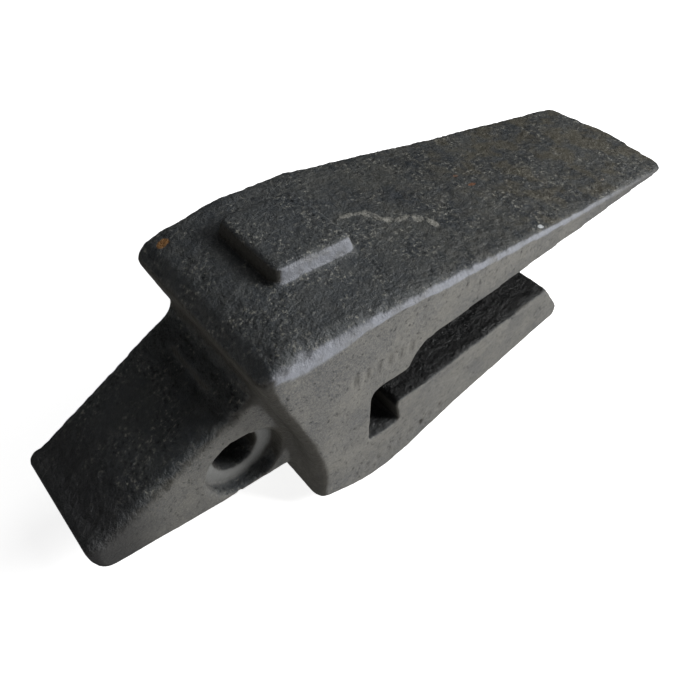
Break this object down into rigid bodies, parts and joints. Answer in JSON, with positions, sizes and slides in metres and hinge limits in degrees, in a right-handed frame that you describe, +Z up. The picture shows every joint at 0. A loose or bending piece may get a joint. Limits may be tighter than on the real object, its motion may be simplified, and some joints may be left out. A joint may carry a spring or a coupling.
{
  "type": "excavator bucket tooth adapter",
  "caption": "Weld-on bucket tooth adapter: a wedge nose with a cross pin bore in front of a heavy body whose long upper and short lower straps clasp the bucket lip.",
  "frame": {"origin": "centre of the bounding box, on the plane of the body's lowest line", "axes": "+X from the nose tip to the strap ends along the lip slot, +Z up through the upper strap; Y is the pin bore's axis, and the retainer seat opens to -Y"},
  "size_m": [0.4068, 0.1196, 0.1411],
  "materials": {
    "painted_cast_steel": "rough sand-cast steel under thin dark grey paint, semi-gloss, dusty"
  },
  "bodies": {
    "root": {"adapter_casting": "painted_cast_steel"}
  },
  "joints": []
}
